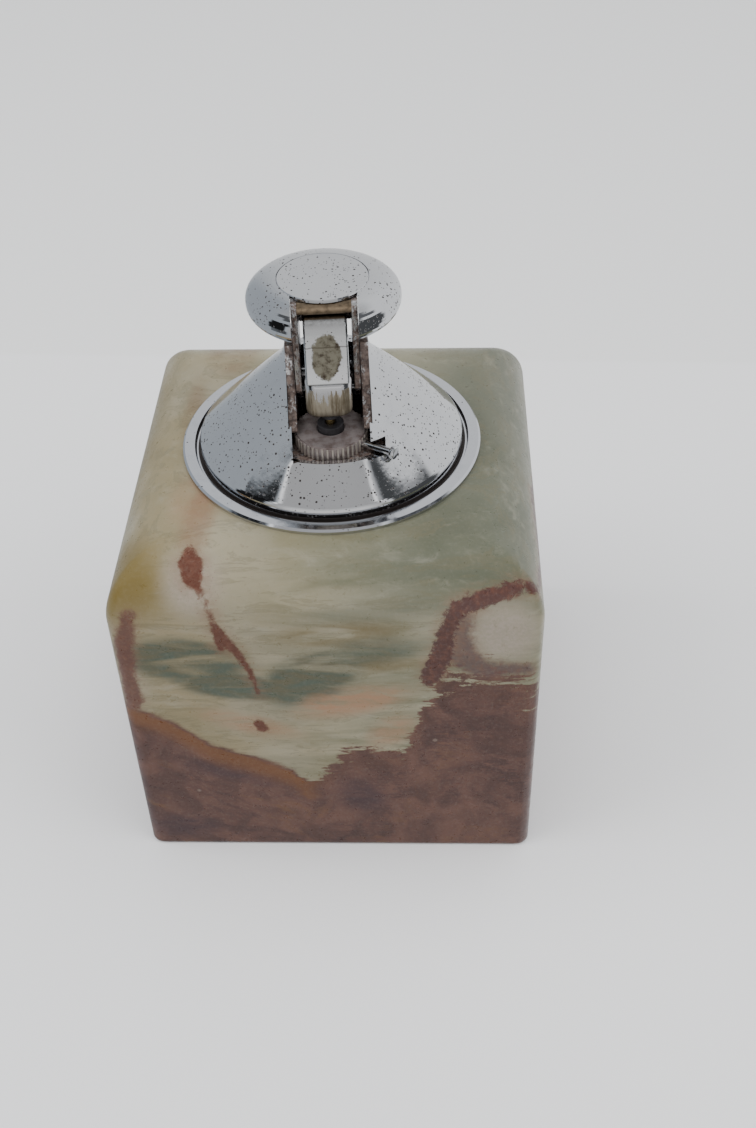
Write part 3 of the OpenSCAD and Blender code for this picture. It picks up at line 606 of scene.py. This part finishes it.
def softened(node_name, width, material=None):
    """A copy of a CAD node with its sharp edges rounded over, as stamped and plated parts have them."""
    node = nodes[node_name]
    mesh = node.data.copy()
    bm = bmesh.new()
    bm.from_mesh(mesh)
    bmesh.ops.remove_doubles(bm, verts=bm.verts, dist=1e-6)
    bmesh.ops.dissolve_limit(bm, angle_limit=math.radians(1.5), verts=bm.verts, edges=bm.edges)
    bm.to_mesh(mesh)
    bm.free()
    mesh.name = node_name + "_finished"
    piece = bpy.data.objects.new(node_name + "_finished", mesh)
    bpy.context.scene.collection.objects.link(piece)
    bevel = piece.modifiers.new("bevel", "BEVEL")
    bevel.width, bevel.segments, bevel.limit_method = width * MM, BEVEL_SEGMENTS, "ANGLE"
    bevel.angle_limit = math.radians(BEVEL_ANGLE)
    bevel.use_clamp_overlap = True
    bpy.context.view_layer.update()
    final = bpy.data.meshes.new_from_object(piece.evaluated_get(bpy.context.evaluated_depsgraph_get()))
    piece.modifiers.clear()
    piece.data = final
    final.polygons.foreach_set("use_smooth", [True] * len(final.polygons))
    final.set_sharp_from_angle(angle=math.radians(SEAM_ANGLE))
    final.materials.clear()
    final.materials.append(material or node.data.materials[0])
    body = next(b for b, group in frame["record"]["behaviour"]["bodies"].items() if node_name in group)
    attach(piece, body)
    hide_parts(node_name)


softened("arm_hood", 0.75, worn_chrome("hood_chrome", hood_wear, HOOD_CREASE))
softened("snuffer_cup", 0.55)
for name, width in (("fork_left", 0.18), ("fork_right", 0.18), ("chassis", 0.15), ("adjust_pin", 0.2),
                    ("burner_collar", 0.2), ("fork_back", 0.15)):
    softened(name, width)

# ---------------------------------------------------------------- table top, lights, camera


def backdrop():
    """A wide pale table top, with the edge of a second, slightly darker sheet lying behind the object."""
    sheet_edge, near, far, half = 0.1345, -1.6, 2.4, 2.0
    rows = [near, 0.0, sheet_edge, far]
    verts = [(x, y, 0.0) for y in rows for x in (-half, half)]
    faces = [(2 * i, 2 * i + 1, 2 * i + 3, 2 * i + 2) for i in range(len(rows) - 1)]
    mesh = bpy.data.meshes.new("backdrop")
    mesh.from_pydata(verts, [], faces)
    piece = bpy.data.objects.new("backdrop", mesh)
    piece.rotation_euler.z = math.radians(-1.9)
    bpy.context.scene.collection.objects.link(piece)
    n = Nodes("backdrop", 1.0)
    sheet = n.ramp(n.axis(1), sheet_edge - 0.001, sheet_edge + 0.002)
    n.set(Base_Color=n.mix(sheet, (0.83, 0.83, 0.84), (0.80, 0.80, 0.80)), Roughness=0.75)
    mesh.materials.append(n.mat)
    piece.visible_glossy = False  # the chrome looks at the studio world instead


def area_light(name, place, side, power):
    """A square white lamp turned to the top of the object. The chrome doesn't mirror it."""
    lamp = bpy.data.lights.new(name, "AREA")
    lamp.shape, lamp.size, lamp.size_y, lamp.energy = "RECTANGLE", side, side, power
    piece = bpy.data.objects.new(name, lamp)
    piece.location = place
    piece.rotation_euler = (Vector((0, 0, 0.09)) - Vector(place)).to_track_quat("-Z", "Y").to_euler()
    piece.visible_camera = piece.visible_glossy = False
    bpy.context.scene.collection.objects.link(piece)


def studio_world():
    """What the chrome looks at: a pale room, dimmer to the left, with two dark uprights.

    Directions are read as a bearing, 0 to the front and positive to the right, and as a height.
    """
    world = bpy.data.worlds.new("studio")
    world.use_nodes = True
    tree = world.node_tree

    def link(source, socket):
        if hasattr(source, "is_output"):
            tree.links.new(source, socket)
        else:
            socket.default_value = source

    def math_node(operation, a, b=0.0):
        node = tree.nodes.new("ShaderNodeMath")
        node.operation = operation
        link(a, node.inputs[0])
        link(b, node.inputs[1])
        return node.outputs[0]

    def rising(value, a, b, start=0, end=1):
        """start below a, end above b, and a smooth change between them."""
        node = tree.nodes.new("ShaderNodeMapRange")
        node.interpolation_type = "SMOOTHSTEP"
        for socket, source in zip(node.inputs, (value, a, b, start, end)):
            link(source, socket)
        return node.outputs[0]

    def window(value, a, b, c, d):
        """1 between b and c, 0 outside a and d."""
        return math_node("MULTIPLY", rising(value, a, b), rising(value, c, d, 1, 0))

    def mix(factor, a, b):
        node = tree.nodes.new("ShaderNodeMix")
        node.data_type = "RGBA"
        for socket, source in ((node.inputs[0], factor), (node.inputs[6], a), (node.inputs[7], b)):
            link(source, socket)
        return node.outputs[2]

    split = tree.nodes.new("ShaderNodeSeparateXYZ")
    tree.links.new(tree.nodes.new("ShaderNodeTexCoord").outputs["Generated"], split.inputs[0])
    x, y, z = split.outputs
    bearing = math_node("MULTIPLY", math_node("ARCTAN2", x, math_node("MULTIPLY", y, -1.0)), 180 / math.pi)
    height = math_node("MULTIPLY", math_node("ARCSINE", z), 180 / math.pi)

    def grey(value, blue=1.0):
        return value, value * (1 + blue) / 2, value * blue, 1

    def patch(a, b, c, d, low_end, high_end, soft):
        """A block between bearings a to d and heights low_end to high_end, with a soft top and bottom."""
        layer = window(height, low_end - soft, low_end, high_end, high_end + soft)
        return math_node("MULTIPLY", window(bearing, a, b, c, d), layer)

    # the room: dimmer to the left, a little greyer straight behind, and grey in front
    colour = mix(rising(bearing, -90, 90), grey(0.50, 1.18), grey(1.12, 1.03))
    colour = mix(rising(math_node("ABSOLUTE", bearing), 145, 175), colour, grey(0.96, 1.03))
    colour = mix(window(bearing, -50, -46, 43, 47), colour, grey(0.60))
    # a bright line at each edge of the grey front
    for a, b, c, d in ((-51, -49.5, -47.5, -46), (42, 43.5, 45.5, 47)):
        line = math_node("MULTIPLY", window(bearing, a, b, c, d), window(height, 10, 30, 47, 52))
        colour = mix(line, colour, grey(1.6))
    # what the upright front faces of the mechanism see, low down in front
    front = math_node("MULTIPLY", window(bearing, -48, -25, 25, 48), window(height, -30, -10, 33, 39))
    colour = mix(front, colour, mix(rising(height, 8, 30), grey(1.05), grey(0.72)))
    # the ceiling, darkest overhead
    overhead = mix(rising(bearing, -150, -20), grey(0.54, 1.08), grey(0.74, 1.02))
    colour = mix(rising(height, 49, 62), colour, overhead)
    colour = mix(rising(height, 66, 78), colour, grey(0.42, 1.08))
    # dark patches high up, seen in the rim of the cap
    for block, shade in (((44, 52, 104, 112, 47, 66, 2), 0.16), ((-115, -105, -60, -50, 54, 61, 2), 0.12)):
        colour = mix(patch(*block), colour, grey(shade, 1.1))
    # two dark uprights, each cut at its top by a slanting line through (centre, top)
    for (a, b, c, d), low_end, centre, slope, top, shade in (
            ((-80, -78, -54, -51), -25, -58, 0.42, 42.6, 0.015),
            ((49, 52, 92, 99), -45, 58, -0.40, 46.0, 0.09)):
        rise = math_node("MULTIPLY", math_node("SUBTRACT", bearing, centre), slope)
        below = math_node("SUBTRACT", 1.0, rising(math_node("SUBTRACT", height, rise), top - 0.2, top + 0.2))
        strip = math_node("MULTIPLY", window(bearing, a, b, c, d), rising(height, low_end - 5, low_end))
        colour = mix(math_node("MULTIPLY", strip, below), colour, grey(shade, 1.1))
    tree.links.new(colour, tree.nodes["Background"].inputs[0])
    tree.nodes["Background"].inputs[1].default_value = 1.0
    bpy.context.scene.world = world


backdrop()
area_light("window_left", (-0.75, -0.15, 0.75), 0.7, 7.5)
area_light("window_right", (0.8, -0.25, 0.7), 0.8, 7.0)
area_light("ceiling", (0.0, -0.1, 1.5), 1.4, 12.0)
studio_world()

CAMERA_PLACE = (0.017589, -0.202899, 0.223727)
YAW, PITCH, ROLL = (math.radians(v) for v in (-2.7835, 42.0077, -1.9313))  # to the left, down, and tilted
FOCAL_LENGTH, SENSOR_WIDTH = 43.74, 36

forward = Vector((math.sin(YAW) * math.cos(PITCH), math.cos(YAW) * math.cos(PITCH), -math.sin(PITCH)))
level = Vector((math.cos(YAW), -math.sin(YAW), 0))
upward = level.cross(forward)
right = math.cos(ROLL) * level + math.sin(ROLL) * upward
up = math.cos(ROLL) * upward - math.sin(ROLL) * level
lens = bpy.data.cameras.new("camera")
lens.sensor_width, lens.lens, lens.clip_start = SENSOR_WIDTH, FOCAL_LENGTH, 0.01
camera = bpy.data.objects.new("camera", lens)
turned = Matrix((right, up, -forward)).transposed().to_4x4()
camera.matrix_world = Matrix.Translation(CAMERA_PLACE) @ turned
bpy.context.scene.collection.objects.link(camera)
bpy.context.scene.camera = camera
